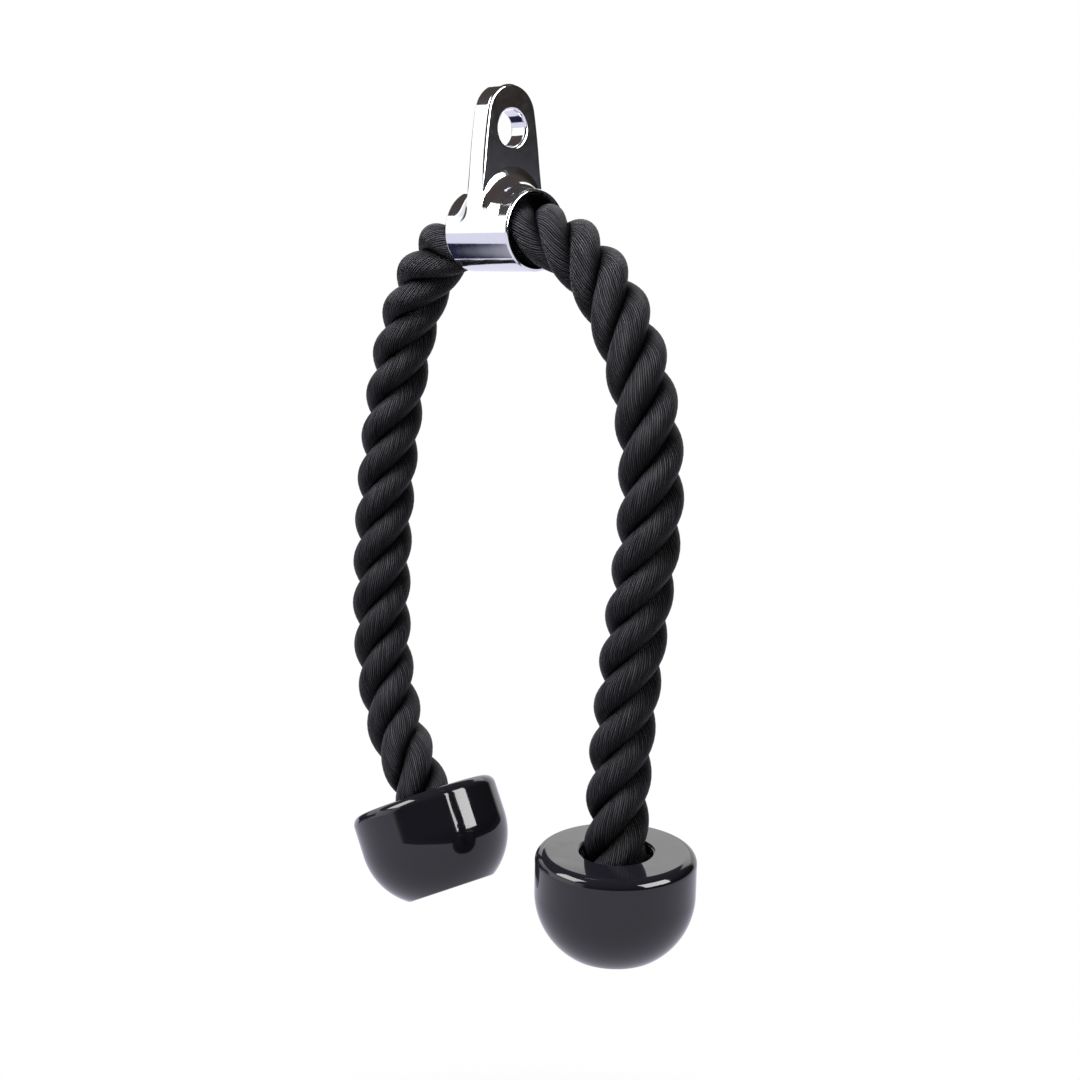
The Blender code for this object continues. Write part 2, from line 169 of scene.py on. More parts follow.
def arc(centre, radius, start, end, steps):
    """Points (r, z) on an arc, from one angle to the other in degrees, counted from outward towards up."""
    angles = np.radians(np.linspace(start, end, steps + 1))
    return [(centre[0] + radius * math.cos(a), centre[1] + radius * math.sin(a)) for a in angles]


def spun(profile, steps, closed):
    """A bmesh turned from a profile (r, z) about Z; a closed profile is a ring's section."""
    shape = bmesh.new()
    points = [shape.verts.new((r, 0.0, z)) for r, z in profile]
    edges = [shape.edges.new(pair) for pair in zip(points, points[1:])]
    if closed:
        edges.append(shape.edges.new((points[-1], points[0])))
    bmesh.ops.spin(
        shape,
        geom=points + edges,
        cent=(0.0, 0.0, 0.0),
        axis=(0.0, 0.0, 1.0),
        angle=2 * math.pi,
        steps=steps,
        use_merge=True,
    )
    bmesh.ops.remove_doubles(shape, verts=shape.verts, dist=MERGE_DISTANCE)
    return shape


def extrude_ring(shape, ring, places):
    """Extrudes a closed ring of vertices on to new places, and returns the new ring in the same order."""
    edges = [shape.edges.get((ring[i - 1], ring[i])) for i in range(len(ring))]
    made = bmesh.ops.extrude_edge_only(shape, edges=edges)["geom"]
    fresh = {v for v in made if isinstance(v, bmesh.types.BMVert)}
    moved = []
    for vert, place in zip(ring, places):
        partner = next(e.other_vert(vert) for e in vert.link_edges if e.other_vert(vert) in fresh)
        partner.co = place
        moved.append(partner)
    return moved


def first_ring(shape, places):
    """A closed ring of edges through the places, from a circle of as many segments."""
    made = bmesh.ops.create_circle(shape, segments=len(places), radius=1.0)["verts"]
    for vert, place in zip(made, places):
        vert.co = place
    return made


# Rope: the route of the CAD part, in metres

EYE_TO_BARREL = 0.0445
BORE_CLEARANCE = 0.0015
SEAT_GAP = 0.0003
ROPE_RADIUS = 0.014
ROPE_IN_BORE = SEAT_GAP - BORE_CLEARANCE
STRAIGHT_ABOVE_CAP = 0.012
ROPE_END_IN_CAP = 0.0378
ROUTE_SAMPLES = 24

RIGHT = {
    "name": "right",
    "sign": 1.0,
    "cap_top": (0.0712, -0.2686),
    "cap_lean": math.radians(5.6),
    "cap_tip": math.radians(4.0),
    "route": [
        (0.0, ROPE_IN_BORE),
        (0.008, ROPE_IN_BORE),
        (0.016, ROPE_IN_BORE),
        (0.026, -0.0023),
        (0.036, -0.0050),
        (0.046, -0.0099),
        (0.0555, -0.0170),
        (0.0640, -0.0258),
        (0.0720, -0.0370),
        (0.0795, -0.0508),
        (0.0856, -0.0675),
        (0.0897, -0.0871),
        (0.0909, -0.1090),
        (0.0891, -0.1309),
        (0.0854, -0.1526),
        (0.0815, -0.1742),
        (0.0780, -0.1959),
        (0.0750, -0.2158),
        (0.0731, -0.2337),
    ],
}
LEFT = {
    "name": "left",
    "sign": -1.0,
    "cap_top": (0.0603, -0.2686),
    "cap_lean": math.radians(24.0),
    "cap_tip": math.radians(3.0),
    "route": [
        (0.0, ROPE_IN_BORE),
        (0.008, ROPE_IN_BORE),
        (0.016, ROPE_IN_BORE),
        (0.026, -0.0024),
        (0.0356, -0.0057),
        (0.0450, -0.0114),
        (0.0535, -0.0196),
        (0.0604, -0.0293),
        (0.0668, -0.0417),
        (0.0723, -0.0567),
        (0.0771, -0.0741),
        (0.0811, -0.0937),
        (0.0847, -0.1154),
        (0.0873, -0.1372),
        (0.0890, -0.1592),
        (0.0897, -0.1812),
        (0.0885, -0.2031),
        (0.0847, -0.2227),
        (0.0785, -0.2396),
    ],
}

# Where a leg's upper piece ends and its lower piece starts, and a stretch of each, as lengths along the rope
ROPE_SPLIT = 0.180
UPPER_BEND = (0.034, 0.110)
LOWER_BEND = (0.186, 0.296)

# Three-strand lay, right-handed, with the yarns twisted back so that they run along the rope
STRANDS = 3
STRAND_RADIUS = 0.0065
STRAND_OFFSET = ROPE_RADIUS - STRAND_RADIUS
LAY_LENGTH = 0.0617
YARN_LAY_LENGTH = 0.0286
YARNS_ROUND = 36
STRAND_SIDES = 28
RING_SPACING = 0.0011
LAY_PHASE = {"right": math.radians(48.0), "left": math.radians(-7.9)}
# The lay gives a little inside the barrel, so that the strands of both legs meet in its middle
LAY_EASE = -(LAY_PHASE["right"] + LAY_PHASE["left"]) / 2
LAY_EASE_LENGTH = 0.032
# Past this turn between two faces, the edge between them is sharp
ROPE_EDGE_TURN = math.radians(60.0)

# Each yarn wanders by up to this many yarns, over about this length
YARN_WANDER = 0.9
YARN_WANDER_LENGTH = 7.142857 * MM
YARN_HEIGHT = 1.0 * MM
# Ridges of the filaments on each yarn, and their height as a share of the yarn's
FILAMENT_RIDGES = 2.5
FILAMENT_HEIGHT = 0.12
# The patches of dull yarn: how many yarns across and how long
DULL_YARNS = 1.25
DULL_LENGTH = 7 * MM


def cap_frame(side):
    """The matrix of a cap: its origin in the middle of its top face, and its Z up out of it."""
    x, z = side["cap_top"]
    place = Matrix.Translation((side["sign"] * x, 0.0, z - EYE_TO_BARREL))
    tip = Matrix.Rotation(side["cap_tip"], 4, "X")
    return place @ tip @ Matrix.Rotation(side["sign"] * side["cap_lean"], 4, "Y")


def rope_line(side):
    """The rope's centreline on one side as many close points, and the length along it at each."""
    points = [Vector((side["sign"] * x, 0.0, z - EYE_TO_BARREL)) for x, z in side["route"]]
    cap = cap_frame(side)
    for height in (STRAIGHT_ABOVE_CAP, 0.0, -ROPE_END_IN_CAP / 2, -ROPE_END_IN_CAP):
        points.append(cap @ Vector((0.0, 0.0, height)))
    knots = np.array([tuple(point) for point in points])
    gaps = np.linalg.norm(np.diff(knots, axis=0), axis=1)[:, None]
    slopes = np.diff(knots, axis=0) / gaps
    inner = (slopes[:-1] * gaps[1:] + slopes[1:] * gaps[:-1]) / (gaps[:-1] + gaps[1:])
    tangents = np.vstack([slopes[:1], inner, slopes[-1:]])
    t = np.linspace(0.0, 1.0, ROUTE_SAMPLES, endpoint=False)[:, None]
    line = []
    for i, gap in enumerate(gaps):
        line.append(
            (1 + 2 * t) * (1 - t) ** 2 * knots[i]
            + t * (1 - t) ** 2 * gap * tangents[i]
            + t**2 * (3 - 2 * t) * knots[i + 1]
            + t**2 * (t - 1) * gap * tangents[i + 1]
        )
    line = np.vstack(line + [knots[-1:]])
    length = np.concatenate([[0.0], np.cumsum(np.linalg.norm(np.diff(line, axis=0), axis=1))])
    return line, length


def along(line, length, at):
    """Points on the rope's centreline at given lengths along it, one row each."""
    return np.stack([np.interp(at, length, line[:, axis]) for axis in range(3)], axis=1)


def rope_frames(line, length, at):
    """Centre, direction and two cross directions of the rope at given lengths along it."""
    step = 1.5 * MM
    centre = along(line, length, at)
    ahead = along(line, length, np.minimum(at + step, length[-1]))
    behind = along(line, length, np.maximum(at - step, 0.0))
    direction = ahead - behind
    direction /= np.linalg.norm(direction, axis=1)[:, None]
    across = np.array([[0.0, 1.0, 0.0]]) - direction[:, 1:2] * direction
    across /= np.linalg.norm(across, axis=1)[:, None]
    return centre, direction, across, np.cross(direction, across)


def lay_turn(side, at):
    """How far the lay has turned at given lengths along the rope."""
    ease = 1.0 - np.clip(at / LAY_EASE_LENGTH, 0.0, 1.0)
    return LAY_PHASE[side["name"]] + 2 * math.pi * at / LAY_LENGTH + LAY_EASE * ease * ease * (3 - 2 * ease)


def strand_rings(side, strand, at):
    """Rings of points round a strand at given lengths along the rope, each from its inward side."""
    line, length = side["line"], side["length"]
    turn = lay_turn(side, at) + 2 * math.pi * strand / STRANDS
    centre, direction, across, upright = rope_frames(line, length, at)
    outward = np.cos(turn)[:, None] * across + np.sin(turn)[:, None] * upright
    sideways = -np.sin(turn)[:, None] * across + np.cos(turn)[:, None] * upright
    slope = 2 * math.pi * STRAND_OFFSET / LAY_LENGTH
    run = direction + slope * sideways
    run /= np.linalg.norm(run, axis=1)[:, None]
    beside = np.cross(run, outward)
    middle = centre + STRAND_OFFSET * outward
    angles = math.pi + np.linspace(0.0, 2 * math.pi, STRAND_SIDES, endpoint=False)
    return [
        [Vector(m + STRAND_RADIUS * (math.cos(a) * o + math.sin(a) * b)) for a in angles]
        for m, o, b in zip(middle, outward, beside)
    ]


def build_rope(name, side, start, end, material):
    """Three strands between two lengths along the rope, with a UV map of turns round and metres along."""
    count = round((end - start) / RING_SPACING)
    at = np.linspace(start, end, count + 1)
    shape = bmesh.new()
    sector = shape.verts.layers.int.new("sector")
    reach = shape.verts.layers.float.new("reach")
    crest = shape.verts.layers.float.new("crest")
    for strand in range(STRANDS):
        rings = strand_rings(side, strand, at)
        ring = first_ring(shape, rings[0])
        ends = [ring]
        for index, s in enumerate(at):
            if index:
                ring = extrude_ring(shape, ring, rings[index])
            for number, vert in enumerate(ring):
                vert[sector] = number
                vert[reach] = s
                # 0 on the strand's inward side and 1 on its outward side
                vert[crest] = 0.5 - 0.5 * math.cos(2 * math.pi * number / STRAND_SIDES)
        ends.append(ring)
        for loop in ends:
            shape.faces.new(loop)
    uv = shape.loops.layers.uv.new("yarn")
    for face in shape.faces:
        numbers = [loop.vert[sector] for loop in face.loops]
        wraps = max(numbers) - min(numbers) > STRAND_SIDES / 2
        for loop, number in zip(face.loops, numbers):
            whole = number + STRAND_SIDES if wraps and number < STRAND_SIDES / 2 else number
            s = loop.vert[reach]
            loop[uv].uv = (whole / STRAND_SIDES + s / YARN_LAY_LENGTH, s)
    piece = finish_piece(name, shape, material)
    piece.data.set_sharp_from_angle(angle=ROPE_EDGE_TURN)
    return piece


def rope_material():
    """Black nylon spun into 1.1 mm yarns and laid up: matt, with fine lines that run along the rope."""
    made = new_material("laid_black_nylon")
    tree = made.node_tree
    place = add_node(tree, "ShaderNodeTexCoord")
    uv = add_node(tree, "ShaderNodeUVMap", uv_map="yarn")
    split = add_node(tree, "ShaderNodeSeparateXYZ", {0: uv})
    # Round yarns lie side by side, and wander a little
    wander = add_node(
        tree,
        "ShaderNodeTexNoise",
        {"Vector": place.outputs["Object"], "Scale": 1.0 / YARN_WANDER_LENGTH, "Detail": 2.0},
    )
    shift = add_node(tree, "ShaderNodeMath", {0: wander, 1: YARN_WANDER}, operation="MULTIPLY")
    count = add_node(tree, "ShaderNodeMath", {0: split, 1: float(YARNS_ROUND)}, operation="MULTIPLY")
    across = add_node(tree, "ShaderNodeMath", {0: count, 1: shift}, operation="ADD")
    angle = add_node(tree, "ShaderNodeMath", {0: across, 1: math.pi}, operation="MULTIPLY")
    wave = add_node(tree, "ShaderNodeMath", {0: angle}, operation="SINE")
    crown = add_node(tree, "ShaderNodeMath", {0: wave}, operation="ABSOLUTE")
    # Filaments on each yarn, drawn 0.45 mm apart, the finest that shows
    ridges = 2 * math.pi * FILAMENT_RIDGES
    fine_angle = add_node(tree, "ShaderNodeMath", {0: across, 1: ridges}, operation="MULTIPLY")
    fine_wave = add_node(tree, "ShaderNodeMath", {0: fine_angle}, operation="SINE")
    fine = add_node(tree, "ShaderNodeMath", {0: fine_wave, 1: FILAMENT_HEIGHT}, operation="MULTIPLY")
    height = add_node(tree, "ShaderNodeMath", {0: crown, 1: fine}, operation="ADD")
    bump = add_node(tree, "ShaderNodeBump", {"Height": height, "Strength": 1.0, "Distance": YARN_HEIGHT})
    # Some stretches of yarn are duller than others
    stretch = add_node(tree, "ShaderNodeMath", {0: split.outputs["Y"], 1: DULL_LENGTH}, operation="DIVIDE")
    yarn = add_node(tree, "ShaderNodeCombineXYZ", {0: across, 1: stretch})
    dull = add_node(tree, "ShaderNodeTexNoise", {"Vector": yarn, "Scale": 1.0 / DULL_YARNS, "Detail": 3.0})
    # Painted shade: the colour darkens in the gaps between the yarns, and random duller patches lie on top of
    # it
    lit = add_node(tree, "ShaderNodeMath", {0: crown, 1: dull}, operation="MULTIPLY")
    tone = add_node(tree, "ShaderNodeMapRange", {"Value": lit, "From Min": 0.12, "From Max": 0.62})
    # Painted shade and highlight: the colour is lightest on the strands' crests and darkens into the grooves
    # between them
    crest = add_node(tree, "ShaderNodeAttribute", attribute_name="crest")
    crest_light_groove_shade = add_node(
        tree,
        "ShaderNodeMapRange",
        {"Value": crest.outputs["Fac"], "From Min": 0.45, "From Max": 0.90, "To Min": 0.1, "To Max": 1.0},
        interpolation_type="SMOOTHSTEP",
    )
    shade = add_node(tree, "ShaderNodeMath", {0: tone, 1: crest_light_groove_shade}, operation="MULTIPLY")
    colour = add_node(
        tree,
        "ShaderNodeMix",
        {0: shade, 6: hex_colour("#050506"), 7: hex_colour("#6c6c73")},
        data_type="RGBA",
    )
    shader = add_node(
        tree,
        "ShaderNodeBsdfPrincipled",
        {
            "Base Color": colour.outputs[2],
            "Roughness": 0.4,
            "IOR": 1.53,
            "Specular IOR Level": 0.08,
            "Normal": bump,
        },
    )
    add_node(tree, "ShaderNodeOutputMaterial", {"Surface": shader})
    return made


def build_ropes(material):
    """Both legs as an upper and a lower piece, which take the place of the CAD rope's nodes."""
    for side in (RIGHT, LEFT):
        name = side["name"]
        side["line"], side["length"] = rope_line(side)
        line, length = side["line"], side["length"]
        total = float(length[-1])
        root, leg, grip = f"rope_root_{name}", f"leg_{name}", f"grip_{name}"
        pieces = (
            ("upper", SEAT_GAP / 2, ROPE_SPLIT, UPPER_BEND, root, leg, ("shoulder", "upper")),
            ("lower", ROPE_SPLIT, total, LOWER_BEND, leg, grip, ("lower",)),
        )
        for part, start, end, bend, near, far, nodes in pieces:
            piece = build_rope(f"laid_rope_{part}_{name}", side, start, end, material)
            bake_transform(piece)
            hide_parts(*[f"rope_{node}_{name}" for node in nodes])


build_ropes(rope_material())


# Bracket: one polished casting

BARREL_LENGTH = 0.041
BARREL_WALL = 0.0025
BORE_RADIUS = ROPE_RADIUS + BORE_CLEARANCE
BARREL_RADIUS = BORE_RADIUS + BARREL_WALL
BELL_DEPTH = 0.0035
BELL_RISE = 0.0014
BARREL_LIP_ROUND = 0.001
TANG_THICKNESS = 0.010
EYE_TO_TANG_TOP = 0.0194
TANG_TOP_RADIUS = 0.0141
TANG_SIDE_START = 0.005
TANG_EDGE_ROUND = 0.0012
TANG_EDGE_FADE_START = 0.014
TANG_EDGE_FADE_LENGTH = 0.018
SADDLE_RADIUS = 0.010
EYE_RADIUS = 0.008
EYE_LIP_ROUND = 0.0012
CUTTER_OVERHANG = 0.002
BRACKET_EDGE_TURN = math.radians(40.0)
# How far from a round the next line of points stands, which keeps the flat beside it flat
SUPPORT = 0.00025

UNDER_STEPS = 72
TOP_STEPS = 56
SIDE_STEPS = 22
ROUND_STEPS = 12
SADDLE_STEPS = 24
EYE_STEPS = 96


def tang_rise():
    """How high the centre of the tang's round top stands over the barrel's middle."""
    return EYE_TO_BARREL + EYE_TO_TANG_TOP - TANG_TOP_RADIUS


def bracket_section(x, rise, edge_inset):
    """One closed section of the casting across X: barrel underside, bowed sides and a round top."""
    full_rise = tang_rise() - TANG_SIDE_START
    bow = (BARREL_RADIUS**2 + full_rise**2 - TANG_TOP_RADIUS**2) / (2 * (BARREL_RADIUS - TANG_TOP_RADIUS))
    bow_rise = max(0.0, rise - TANG_SIDE_START)
    bow_end = math.atan2(bow_rise, bow - BARREL_RADIUS)
    top_radius = bow - math.hypot(bow - BARREL_RADIUS, bow_rise) - edge_inset
    side = []
    for step in range(SIDE_STEPS):
        turn = bow_end * step / SIDE_STEPS
        height = rise - bow_rise + bow * math.sin(turn)
        fade = min(1.0, max(0.0, (height - TANG_EDGE_FADE_START) / TANG_EDGE_FADE_LENGTH))
        reach = bow - edge_inset * fade * fade * (3 - 2 * fade)
        side.append((BARREL_RADIUS - bow + reach * math.cos(turn), rise - bow_rise + reach * math.sin(turn)))
    under = np.linspace(math.pi, 2 * math.pi, UNDER_STEPS + 1)
    over = np.linspace(bow_end, math.pi - bow_end, TOP_STEPS + 1)
    points = [(x, BARREL_RADIUS * math.cos(a), BARREL_RADIUS * math.sin(a)) for a in under]
    points += [(x, y, z) for y, z in side]
    points += [(x, top_radius * math.cos(a), rise + top_radius * math.sin(a)) for a in over]
    points += [(x, -y, z) for y, z in reversed(side)]
    return points


def barrel_section(x, radius):
    """A plain round section of the barrel, with its points in the order of bracket_section."""
    share = radius / BARREL_RADIUS
    return [(x, y * share, z * share) for _, y, z in bracket_section(x, 0.0, 0.0)]


def bracket_sections():
    """Sections from the casting's middle out to the barrel's end, and back through its bore to the middle."""
    half_tang, half_barrel = TANG_THICKNESS / 2, BARREL_LENGTH / 2
    rise = tang_rise()
    sections = [bracket_section(0.0, rise, 0.0)]
    for a in np.linspace(0.0, math.pi / 2, ROUND_STEPS + 1):
        x = half_tang - TANG_EDGE_ROUND * (1.0 - math.sin(a))
        sections.append(bracket_section(x, rise, TANG_EDGE_ROUND * (1.0 - math.cos(a))))
    sections.append(bracket_section(half_tang, rise, TANG_EDGE_ROUND + SUPPORT))
    sections.append(bracket_section(half_tang, SADDLE_RADIUS + SUPPORT, 0.0))
    for a in np.linspace(0.0, math.pi / 2, SADDLE_STEPS + 1):
        x = half_tang + SADDLE_RADIUS * (1.0 - math.cos(a))
        sections.append(bracket_section(x, SADDLE_RADIUS * (1.0 - math.sin(a)), 0.0))
    for a in np.linspace(0.0, math.pi / 2, ROUND_STEPS // 2 + 1):
        x = half_barrel - BARREL_LIP_ROUND * (1.0 - math.sin(a))
        sections.append(barrel_section(x, BARREL_RADIUS - BARREL_LIP_ROUND * (1.0 - math.cos(a))))
    flare = (BELL_DEPTH**2 + BELL_RISE**2) / (2 * BELL_RISE)
    sweep = math.asin(BELL_DEPTH / flare)
    for a in np.linspace(sweep, 0.0, ROUND_STEPS + 1):
        x = half_barrel - BELL_DEPTH + flare * math.sin(a)
        sections.append(barrel_section(x, BORE_RADIUS + flare * (1.0 - math.cos(a))))
    sections.append(barrel_section(0.0, BORE_RADIUS))
    return sections


def eye_cutter(half_length):
    """The eye's cutter along X, whose two mouths open out in an arc."""
    opening = EYE_RADIUS + EYE_LIP_ROUND
    reach = half_length + CUTTER_OVERHANG
    mouth = arc((opening, half_length - EYE_LIP_ROUND), EYE_LIP_ROUND, 90.0, 180.0, ROUND_STEPS)
    upper = [(0.0, reach), (opening, reach)] + mouth
    lower = [(r, -z) for r, z in reversed(upper)]
    shape = spun(upper + lower, EYE_STEPS, closed=False)
    bmesh.ops.rotate(shape, verts=shape.verts, matrix=Matrix.Rotation(math.pi / 2, 3, "Y"))
    return shape


def build_bracket(material, shaded_bore_finish):
    """Skins the sections into one closed shell, mirrors it, cuts the eye and gives the bore its dark finish
    of painted shade.
    """
    shape = bmesh.new()
    sections = bracket_sections()
    ring = first_ring(shape, [Vector(p) for p in sections[0]])
    for section in sections[1:]:
        ring = extrude_ring(shape, ring, [Vector(p) for p in section])
    bmesh.ops.mirror(
        shape,
        geom=shape.verts[:] + shape.edges[:] + shape.faces[:],
        axis="X",
        merge_dist=MERGE_DISTANCE,
    )
    bmesh.ops.remove_doubles(shape, verts=shape.verts, dist=MERGE_DISTANCE)
    bmesh.ops.translate(shape, verts=shape.verts, vec=(0.0, 0.0, -EYE_TO_BARREL))
    piece = finish_piece("cast_bracket", shape, material)
    cutter = finish_piece("eye_cutter", eye_cutter(TANG_THICKNESS / 2), material)
    cut = piece.modifiers.new("Eye", "BOOLEAN")
    cut.operation = "DIFFERENCE"
    cut.solver = "EXACT"
    cut.object = cutter
    bpy.context.view_layer.update()
    depsgraph = bpy.context.evaluated_depsgraph_get()
    solid = bpy.data.meshes.new_from_object(piece.evaluated_get(depsgraph))
    piece.modifiers.clear()
    piece.data = solid
    bpy.data.objects.remove(cutter, do_unlink=True)
    solid.shade_smooth()
    solid.set_sharp_from_angle(angle=BRACKET_EDGE_TURN)
    # The bore's faces take the second finish, whose dark colour is painted shade
    solid.materials.append(shaded_bore_finish)
    for face in solid.polygons:
        out_of_axis = math.hypot(face.center.y, face.center.z + EYE_TO_BARREL)
        if out_of_axis < BORE_RADIUS + BELL_RISE / 2 and abs(face.center.x) < BARREL_LENGTH / 2:
            face.material_index = 1
    weighted = piece.modifiers.new("Flat faces stay flat", "WEIGHTED_NORMAL")
    weighted.keep_sharp = True
    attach(piece, "bracket")
    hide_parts("bracket")


def chrome_material():
    """Chrome plate on a hand-polished casting: a mirror with a faint haze, and with waves 14 mm long."""
    return hard_material(
        "chrome_plated_casting",
        "#e4e5ea",
        haze=(3 * MM, 4.0, 0.6),
        span=(0.3, 0.75),
        roughness=(0.06, 0.11),
        waves=(14 * MM, 1.0, 0.4),
        bump=(1.0, 0.05 * MM),
        Metallic=1.0,
    )


def shaded_bore_material():
    """The bore: dull, rough metal, pitted like coarse sand, with painted shade: its colour is far darker than
    the chrome's, for the shade inside the barrel.
    """
    return hard_material(
        "dark_shaded_bore",
        "#55524f",
        haze=(1.2 * MM, 3.0, 0.6),
        span=(0.3, 0.7),
        roughness=(0.45, 0.65),
        waves=(1.2 * MM, 3.0, 0.6),
        bump=(0.6, 0.1 * MM),
        Metallic=1.0,
    )


build_bracket(chrome_material(), shaded_bore_material())


# End caps and lids: thick glossy mouldings

FERRULE_WALL = 0.0032
CAP_HOLE_CLEARANCE = 0.002
CHAMBER_CLEARANCE = 0.0005
LID_LEDGE = 0.0012
CAP_HOLE_RADIUS = ROPE_RADIUS + CAP_HOLE_CLEARANCE
CAP_CHAMBER_RADIUS = ROPE_RADIUS + SEAT_GAP + FERRULE_WALL + CHAMBER_CLEARANCE
LID_SEAT_RADIUS = CAP_CHAMBER_RADIUS + LID_LEDGE
CAP_HOLE_ROUND = 0.0013
CAP_SHOULDER_DEPTH = 0.011
CAP_RADIUS = 0.0355
CAP_HEIGHT = 0.0465
CAP_WALL_DEPTH = 0.0193
CAP_FOOT_LAND = 0.0018
CAP_FOOT_RADIUS = LID_SEAT_RADIUS + CAP_FOOT_LAND
CAP_RIM_ROUND = 0.0048
CAP_FOOT_ROUND = 0.003
LID_FLANGE = 0.0025
LID_SPIGOT_LENGTH = 0.005
LID_SPIGOT_WALL = 0.0022
CAP_STEPS = 128
CAP_EDGE_TURN = math.radians(35.0)


def cap_profile():
    """Section of the cap's cup, with close pairs of points where a flat or a straight wall meets a round."""
    inward = CAP_RADIUS - CAP_FOOT_RADIUS
    drop = CAP_HEIGHT - CAP_WALL_DEPTH
    dome_radius = (inward**2 + drop**2) / (2 * inward)
    dome_axis = CAP_RADIUS - dome_radius
    foot_reach = dome_radius - CAP_FOOT_ROUND
    meets_foot = math.asin((drop - CAP_FOOT_ROUND) / foot_reach)
    foot_centre = (dome_axis + foot_reach * math.cos(meets_foot), CAP_FOOT_ROUND - CAP_HEIGHT)
    dome_turn = -math.degrees(meets_foot)
    ledge = CAP_HEIGHT - LID_FLANGE - SEAT_GAP
    hole_centre = (CAP_HOLE_RADIUS + CAP_HOLE_ROUND, -CAP_HOLE_ROUND)
    profile = arc(hole_centre, CAP_HOLE_ROUND, 180.0, 90.0, ROUND_STEPS)
    profile.append((CAP_HOLE_RADIUS + CAP_HOLE_ROUND + SUPPORT, 0.0))
    profile.append((CAP_RADIUS - CAP_RIM_ROUND - SUPPORT, 0.0))
    profile += arc((CAP_RADIUS - CAP_RIM_ROUND, -CAP_RIM_ROUND), CAP_RIM_ROUND, 90.0, 0.0, 2 * ROUND_STEPS)
    profile.append((CAP_RADIUS, -CAP_RIM_ROUND - SUPPORT))
    profile.append((CAP_RADIUS, -CAP_WALL_DEPTH + SUPPORT))
    profile += arc((dome_axis, -CAP_WALL_DEPTH), dome_radius, 0.0, dome_turn, 3 * ROUND_STEPS)
    profile += arc(foot_centre, CAP_FOOT_ROUND, dome_turn, -90.0, ROUND_STEPS)[1:]
    profile += [
        (foot_centre[0] - SUPPORT, -CAP_HEIGHT),
        (LID_SEAT_RADIUS + SUPPORT, -CAP_HEIGHT),
        (LID_SEAT_RADIUS, -CAP_HEIGHT + SUPPORT),
        (LID_SEAT_RADIUS, -ledge),
        (CAP_CHAMBER_RADIUS, -ledge),
        (CAP_CHAMBER_RADIUS, -CAP_SHOULDER_DEPTH),
        (CAP_HOLE_RADIUS, -CAP_SHOULDER_DEPTH),
        (CAP_HOLE_RADIUS, -CAP_HOLE_ROUND - SUPPORT),
    ]
    return profile


def lid_profile():
    """Section of the lid: the flange's flat face with a broken edge, and the hollow spigot inside."""
    flange_top = CAP_HEIGHT - LID_FLANGE
    spigot_top = flange_top - LID_SPIGOT_LENGTH
    flange_radius = LID_SEAT_RADIUS - SEAT_GAP
    spigot_radius = CAP_CHAMBER_RADIUS - SEAT_GAP
    recess_radius = spigot_radius - LID_SPIGOT_WALL
    return [
        (0.0, -flange_top),
        (recess_radius, -flange_top),
        (recess_radius, -spigot_top),
        (spigot_radius, -spigot_top),
        (spigot_radius, -flange_top),
        (flange_radius, -flange_top),
        (flange_radius, -CAP_HEIGHT + SUPPORT),
        (flange_radius - SUPPORT, -CAP_HEIGHT),
        (flange_radius - 2 * SUPPORT, -CAP_HEIGHT),
        (0.0, -CAP_HEIGHT),
    ]


def cap_material():
    """Thick thermoplastic rubber from a polished mould: deep black gloss, with shrink waves 18 mm long."""
    return hard_material(
        "gloss_black_tpu_moulding",
        "#1e1d24",
        haze=(6 * MM, 4.0, 0.6),
        span=(0.35, 0.7),
        roughness=(0.04, 0.09),
        waves=(18 * MM, 1.0, 0.4),
        bump=(1.0, 0.05 * MM),
        IOR=1.52,
    )


def lid_material():
    """The same rubber from a plainer mould: satin black, with the same shrink waves."""
    return hard_material(
        "satin_black_lid_moulding",
        "#1a1a1e",
        haze=(6 * MM, 4.0, 0.6),
        span=(0.35, 0.7),
        roughness=(0.18, 0.28),
        waves=(18 * MM, 1.0, 0.4),
        bump=(1.0, 0.05 * MM),
        IOR=1.52,
    )


def build_caps(cap_finish, lid_finish):
    """Each cap and its lid, which turn together on the end of the rope."""
    kinds = (
        ("moulded_cap", "end_cap", cap_profile(), True, cap_finish, "gloss_black_moulding"),
        ("moulded_lid", "cap_lid", lid_profile(), False, lid_finish, "gloss_black_lid"),
    )
    for side in (RIGHT, LEFT):
        name = side["name"]
        for kind, node, profile, closed, finish, slot in kinds:
            piece = finish_piece(f"{kind}_{name}", spun(profile, CAP_STEPS, closed), finish, cap_frame(side))
            piece.data.set_sharp_from_angle(angle=CAP_EDGE_TURN)
            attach(piece, f"cap_{name}")
            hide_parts(f"{node}_{name}")


build_caps(cap_material(), lid_material())


# Washers and ferrules, carried over from the CAD part


def washer_material():
    """Zinc plate on a turned steel washer: satin, pale grey, with a grain of about 0.6 mm."""
    return hard_material(
        "zinc_plated_steel",
        "#b4b8b8",
        haze=(0.6 * MM, 3.0, 0.6),
        span=(0.3, 0.7),
        roughness=(0.3, 0.42),
        waves=(0.6 * MM, 3.0, 0.6),
        bump=(0.4, 0.05 * MM),
        Metallic=1.0,
    )


def ferrule_material():
    """Bare steel tube crimped between dies: duller, with a grain of about 0.9 mm."""
    return hard_material(
        "crimped_bare_steel",
        "#a3a39f",
        haze=(0.9 * MM, 3.0, 0.6),
        span=(0.3, 0.7),
        roughness=(0.35, 0.5),
        waves=(0.9 * MM, 3.0, 0.6),
        bump=(0.4, 0.05 * MM),
        Metallic=1.0,
    )


def dress_cad_nodes(kind, material):
    """Gives the two CAD nodes of a kind, which stay as they are, their finish."""
    for end in ("left", "right"):
        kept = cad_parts[f"{kind}_{end}"]
        kept.data.materials.clear()
        kept.data.materials.append(material)


dress_cad_nodes("thrust_washer", washer_material())
dress_cad_nodes("crimp_ferrule", ferrule_material())


# Stage: floor, studio surroundings and lamps

FLOOR_DEPTH = 0.60
FLOOR_SIZE = 12.0
